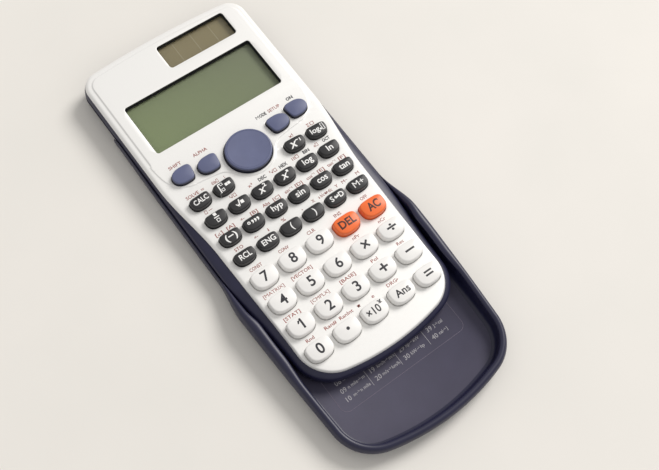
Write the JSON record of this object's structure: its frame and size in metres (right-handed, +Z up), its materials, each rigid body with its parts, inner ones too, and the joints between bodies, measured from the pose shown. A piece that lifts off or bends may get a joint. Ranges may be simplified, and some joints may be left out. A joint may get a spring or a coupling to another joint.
{
  "type": "pocket calculator",
  "caption": "Scientific pocket calculator with press keys, a rocking cursor pad, display and solar cell, lying in a slide-on hard case that is drawn part of the way out.",
  "frame": {"origin": "on the table, under the middle of the whole outline", "axes": "+X to the right across the keys, +Y from the number keys towards the display, +Z up out of the key face"},
  "size_m": [0.0842, 0.1944, 0.0137],
  "materials": {
    "silver_plastic": "satin silver-white lacquer",
    "navy_plastic": "fine satin",
    "clear_window": "polished clear acrylic",
    "display": "grey-green liquid crystal panel",
    "ribbon_film": "amber film",
    "solar_film": "dark brown cells under clear film",
    "board": "green solder mask",
    "silicone": "matte silicone",
    "cell_steel": "nickel-plated",
    "spring_brass": "plated spring strip",
    "screw_steel": "zinc-plated",
    "slate_plastic": "satin slate blue",
    "charcoal_plastic": "satin charcoal",
    "pale_plastic": "satin pale grey",
    "orange_plastic": "satin orange"
  },
  "bodies": {
    "calculator": {"front_shell": "silver_plastic", "rear_shell": "navy_plastic", "window_lens": "clear_window", "lcd_panel": "display", "lcd_ribbon": "ribbon_film", "solar_cell": "solar_film", "circuit_board": "board", "dome_sheet": "silicone", "button_cell": "cell_steel", "battery_terminals": "spring_brass", "screws": "screw_steel"},
    "case": {"slide_case": "navy_plastic"},
    "pad_rocker": {"pad_pivot": "silicone"},
    "pad": {"cursor_pad": "slate_plastic"},
    "key_shift": {"key_shift": "slate_plastic"},
    "key_alpha": {"key_alpha": "slate_plastic"},
    "key_mode": {"key_mode": "slate_plastic"},
    "key_on": {"key_on": "slate_plastic"},
    "key_fraction": {"key_fraction": "charcoal_plastic"},
    "key_square_root": {"key_square_root": "charcoal_plastic"},
    "key_square": {"key_square": "charcoal_plastic"},
    "key_power": {"key_power": "charcoal_plastic"},
    "key_log": {"key_log": "charcoal_plastic"},
    "key_ln": {"key_ln": "charcoal_plastic"},
    "key_negative": {"key_negative": "charcoal_plastic"},
    "key_degrees": {"key_degrees": "charcoal_plastic"},
    "key_hyp": {"key_hyp": "charcoal_plastic"},
    "key_sin": {"key_sin": "charcoal_plastic"},
    "key_cos": {"key_cos": "charcoal_plastic"},
    "key_tan": {"key_tan": "charcoal_plastic"},
    "key_recall": {"key_recall": "charcoal_plastic"},
    "key_engineering": {"key_engineering": "charcoal_plastic"},
    "key_open_bracket": {"key_open_bracket": "charcoal_plastic"},
    "key_close_bracket": {"key_close_bracket": "charcoal_plastic"},
    "key_fraction_decimal": {"key_fraction_decimal": "charcoal_plastic"},
    "key_memory_plus": {"key_memory_plus": "charcoal_plastic"},
    "key_calculate": {"key_calculate": "charcoal_plastic"},
    "key_integral": {"key_integral": "charcoal_plastic"},
    "key_reciprocal": {"key_reciprocal": "charcoal_plastic"},
    "key_log_base": {"key_log_base": "charcoal_plastic"},
    "key_delete": {"key_delete": "orange_plastic"},
    "key_all_clear": {"key_all_clear": "orange_plastic"},
    "key_7": {"key_7": "pale_plastic"},
    "key_8": {"key_8": "pale_plastic"},
    "key_9": {"key_9": "pale_plastic"},
    "key_4": {"key_4": "pale_plastic"},
    "key_5": {"key_5": "pale_plastic"},
    "key_6": {"key_6": "pale_plastic"},
    "key_multiply": {"key_multiply": "pale_plastic"},
    "key_divide": {"key_divide": "pale_plastic"},
    "key_1": {"key_1": "pale_plastic"},
    "key_2": {"key_2": "pale_plastic"},
    "key_3": {"key_3": "pale_plastic"},
    "key_plus": {"key_plus": "pale_plastic"},
    "key_minus": {"key_minus": "pale_plastic"},
    "key_0": {"key_0": "pale_plastic"},
    "key_point": {"key_point": "pale_plastic"},
    "key_exponent": {"key_exponent": "pale_plastic"},
    "key_answer": {"key_answer": "pale_plastic"},
    "key_equals": {"key_equals": "pale_plastic"}
  },
  "joints": [
    {"name": "case_slide", "type": "slide", "parent": "calculator", "child": "case", "axis": [0, 1, 0], "range_m": [-0.132, 0.028]},
    {"name": "pad_tilt_up_down", "type": "hinge", "parent": "calculator", "child": "pad_rocker", "pos_m": [0, 0.03202, 0.008], "axis": [1, 0, 0], "range_deg": [-3, 3], "stiffness_Nm_per_rad": 0.1, "deforming": ["dome_sheet"]},
    {"name": "pad_tilt_left_right", "type": "hinge", "parent": "pad_rocker", "child": "pad", "pos_m": [0, 0.03202, 0.008], "axis": [0, 1, 0], "range_deg": [-3, 3], "stiffness_Nm_per_rad": 0.1, "deforming": ["dome_sheet"]},
    {"name": "key_shift_press", "type": "slide", "parent": "calculator", "child": "key_shift", "axis": [0, 0, -1], "range_m": [0, 0.0009], "stiffness_N_per_m": 600, "deforming": ["dome_sheet"]},
    {"name": "key_alpha_press", "type": "slide", "parent": "calculator", "child": "key_alpha", "axis": [0, 0, -1], "range_m": [0, 0.0009], "stiffness_N_per_m": 600, "deforming": ["dome_sheet"]},
    {"name": "key_mode_press", "type": "slide", "parent": "calculator", "child": "key_mode", "axis": [0, 0, -1], "range_m": [0, 0.0009], "stiffness_N_per_m": 600, "deforming": ["dome_sheet"]},
    {"name": "key_on_press", "type": "slide", "parent": "calculator", "child": "key_on", "axis": [0, 0, -1], "range_m": [0, 0.0009], "stiffness_N_per_m": 600, "deforming": ["dome_sheet"]},
    {"name": "key_fraction_press", "type": "slide", "parent": "calculator", "child": "key_fraction", "axis": [0, 0, -1], "range_m": [0, 0.0009], "stiffness_N_per_m": 600, "deforming": ["dome_sheet"]},
    {"name": "key_square_root_press", "type": "slide", "parent": "calculator", "child": "key_square_root", "axis": [0, 0, -1], "range_m": [0, 0.0009], "stiffness_N_per_m": 600, "deforming": ["dome_sheet"]},
    {"name": "key_square_press", "type": "slide", "parent": "calculator", "child": "key_square", "axis": [0, 0, -1], "range_m": [0, 0.0009], "stiffness_N_per_m": 600, "deforming": ["dome_sheet"]},
    {"name": "key_power_press", "type": "slide", "parent": "calculator", "child": "key_power", "axis": [0, 0, -1], "range_m": [0, 0.0009], "stiffness_N_per_m": 600, "deforming": ["dome_sheet"]},
    {"name": "key_log_press", "type": "slide", "parent": "calculator", "child": "key_log", "axis": [0, 0, -1], "range_m": [0, 0.0009], "stiffness_N_per_m": 600, "deforming": ["dome_sheet"]},
    {"name": "key_ln_press", "type": "slide", "parent": "calculator", "child": "key_ln", "axis": [0, 0, -1], "range_m": [0, 0.0009], "stiffness_N_per_m": 600, "deforming": ["dome_sheet"]},
    {"name": "key_negative_press", "type": "slide", "parent": "calculator", "child": "key_negative", "axis": [0, 0, -1], "range_m": [0, 0.0009], "stiffness_N_per_m": 600, "deforming": ["dome_sheet"]},
    {"name": "key_degrees_press", "type": "slide", "parent": "calculator", "child": "key_degrees", "axis": [0, 0, -1], "range_m": [0, 0.0009], "stiffness_N_per_m": 600, "deforming": ["dome_sheet"]},
    {"name": "key_hyp_press", "type": "slide", "parent": "calculator", "child": "key_hyp", "axis": [0, 0, -1], "range_m": [0, 0.0009], "stiffness_N_per_m": 600, "deforming": ["dome_sheet"]},
    {"name": "key_sin_press", "type": "slide", "parent": "calculator", "child": "key_sin", "axis": [0, 0, -1], "range_m": [0, 0.0009], "stiffness_N_per_m": 600, "deforming": ["dome_sheet"]},
    {"name": "key_cos_press", "type": "slide", "parent": "calculator", "child": "key_cos", "axis": [0, 0, -1], "range_m": [0, 0.0009], "stiffness_N_per_m": 600, "deforming": ["dome_sheet"]},
    {"name": "key_tan_press", "type": "slide", "parent": "calculator", "child": "key_tan", "axis": [0, 0, -1], "range_m": [0, 0.0009], "stiffness_N_per_m": 600, "deforming": ["dome_sheet"]},
    {"name": "key_recall_press", "type": "slide", "parent": "calculator", "child": "key_recall", "axis": [0, 0, -1], "range_m": [0, 0.0009], "stiffness_N_per_m": 600, "deforming": ["dome_sheet"]},
    {"name": "key_engineering_press", "type": "slide", "parent": "calculator", "child": "key_engineering", "axis": [0, 0, -1], "range_m": [0, 0.0009], "stiffness_N_per_m": 600, "deforming": ["dome_sheet"]},
    {"name": "key_open_bracket_press", "type": "slide", "parent": "calculator", "child": "key_open_bracket", "axis": [0, 0, -1], "range_m": [0, 0.0009], "stiffness_N_per_m": 600, "deforming": ["dome_sheet"]},
    {"name": "key_close_bracket_press", "type": "slide", "parent": "calculator", "child": "key_close_bracket", "axis": [0, 0, -1], "range_m": [0, 0.0009], "stiffness_N_per_m": 600, "deforming": ["dome_sheet"]},
    {"name": "key_fraction_decimal_press", "type": "slide", "parent": "calculator", "child": "key_fraction_decimal", "axis": [0, 0, -1], "range_m": [0, 0.0009], "stiffness_N_per_m": 600, "deforming": ["dome_sheet"]},
    {"name": "key_memory_plus_press", "type": "slide", "parent": "calculator", "child": "key_memory_plus", "axis": [0, 0, -1], "range_m": [0, 0.0009], "stiffness_N_per_m": 600, "deforming": ["dome_sheet"]},
    {"name": "key_calculate_press", "type": "slide", "parent": "calculator", "child": "key_calculate", "axis": [0, 0, -1], "range_m": [0, 0.0009], "stiffness_N_per_m": 600, "deforming": ["dome_sheet"]},
    {"name": "key_integral_press", "type": "slide", "parent": "calculator", "child": "key_integral", "axis": [0, 0, -1], "range_m": [0, 0.0009], "stiffness_N_per_m": 600, "deforming": ["dome_sheet"]},
    {"name": "key_reciprocal_press", "type": "slide", "parent": "calculator", "child": "key_reciprocal", "axis": [0, 0, -1], "range_m": [0, 0.0009], "stiffness_N_per_m": 600, "deforming": ["dome_sheet"]},
    {"name": "key_log_base_press", "type": "slide", "parent": "calculator", "child": "key_log_base", "axis": [0, 0, -1], "range_m": [0, 0.0009], "stiffness_N_per_m": 600, "deforming": ["dome_sheet"]},
    {"name": "key_delete_press", "type": "slide", "parent": "calculator", "child": "key_delete", "axis": [0, 0, -1], "range_m": [0, 0.0009], "stiffness_N_per_m": 600, "deforming": ["dome_sheet"]},
    {"name": "key_all_clear_press", "type": "slide", "parent": "calculator", "child": "key_all_clear", "axis": [0, 0, -1], "range_m": [0, 0.0009], "stiffness_N_per_m": 600, "deforming": ["dome_sheet"]},
    {"name": "key_7_press", "type": "slide", "parent": "calculator", "child": "key_7", "axis": [0, 0, -1], "range_m": [0, 0.0009], "stiffness_N_per_m": 600, "deforming": ["dome_sheet"]},
    {"name": "key_8_press", "type": "slide", "parent": "calculator", "child": "key_8", "axis": [0, 0, -1], "range_m": [0, 0.0009], "stiffness_N_per_m": 600, "deforming": ["dome_sheet"]},
    {"name": "key_9_press", "type": "slide", "parent": "calculator", "child": "key_9", "axis": [0, 0, -1], "range_m": [0, 0.0009], "stiffness_N_per_m": 600, "deforming": ["dome_sheet"]},
    {"name": "key_4_press", "type": "slide", "parent": "calculator", "child": "key_4", "axis": [0, 0, -1], "range_m": [0, 0.0009], "stiffness_N_per_m": 600, "deforming": ["dome_sheet"]},
    {"name": "key_5_press", "type": "slide", "parent": "calculator", "child": "key_5", "axis": [0, 0, -1], "range_m": [0, 0.0009], "stiffness_N_per_m": 600, "deforming": ["dome_sheet"]},
    {"name": "key_6_press", "type": "slide", "parent": "calculator", "child": "key_6", "axis": [0, 0, -1], "range_m": [0, 0.0009], "stiffness_N_per_m": 600, "deforming": ["dome_sheet"]},
    {"name": "key_multiply_press", "type": "slide", "parent": "calculator", "child": "key_multiply", "axis": [0, 0, -1], "range_m": [0, 0.0009], "stiffness_N_per_m": 600, "deforming": ["dome_sheet"]},
    {"name": "key_divide_press", "type": "slide", "parent": "calculator", "child": "key_divide", "axis": [0, 0, -1], "range_m": [0, 0.0009], "stiffness_N_per_m": 600, "deforming": ["dome_sheet"]},
    {"name": "key_1_press", "type": "slide", "parent": "calculator", "child": "key_1", "axis": [0, 0, -1], "range_m": [0, 0.0009], "stiffness_N_per_m": 600, "deforming": ["dome_sheet"]},
    {"name": "key_2_press", "type": "slide", "parent": "calculator", "child": "key_2", "axis": [0, 0, -1], "range_m": [0, 0.0009], "stiffness_N_per_m": 600, "deforming": ["dome_sheet"]},
    {"name": "key_3_press", "type": "slide", "parent": "calculator", "child": "key_3", "axis": [0, 0, -1], "range_m": [0, 0.0009], "stiffness_N_per_m": 600, "deforming": ["dome_sheet"]},
    {"name": "key_plus_press", "type": "slide", "parent": "calculator", "child": "key_plus", "axis": [0, 0, -1], "range_m": [0, 0.0009], "stiffness_N_per_m": 600, "deforming": ["dome_sheet"]},
    {"name": "key_minus_press", "type": "slide", "parent": "calculator", "child": "key_minus", "axis": [0, 0, -1], "range_m": [0, 0.0009], "stiffness_N_per_m": 600, "deforming": ["dome_sheet"]},
    {"name": "key_0_press", "type": "slide", "parent": "calculator", "child": "key_0", "axis": [0, 0, -1], "range_m": [0, 0.0009], "stiffness_N_per_m": 600, "deforming": ["dome_sheet"]},
    {"name": "key_point_press", "type": "slide", "parent": "calculator", "child": "key_point", "axis": [0, 0, -1], "range_m": [0, 0.0009], "stiffness_N_per_m": 600, "deforming": ["dome_sheet"]},
    {"name": "key_exponent_press", "type": "slide", "parent": "calculator", "child": "key_exponent", "axis": [0, 0, -1], "range_m": [0, 0.0009], "stiffness_N_per_m": 600, "deforming": ["dome_sheet"]},
    {"name": "key_answer_press", "type": "slide", "parent": "calculator", "child": "key_answer", "axis": [0, 0, -1], "range_m": [0, 0.0009], "stiffness_N_per_m": 600, "deforming": ["dome_sheet"]},
    {"name": "key_equals_press", "type": "slide", "parent": "calculator", "child": "key_equals", "axis": [0, 0, -1], "range_m": [0, 0.0009], "stiffness_N_per_m": 600, "deforming": ["dome_sheet"]}
  ]
}
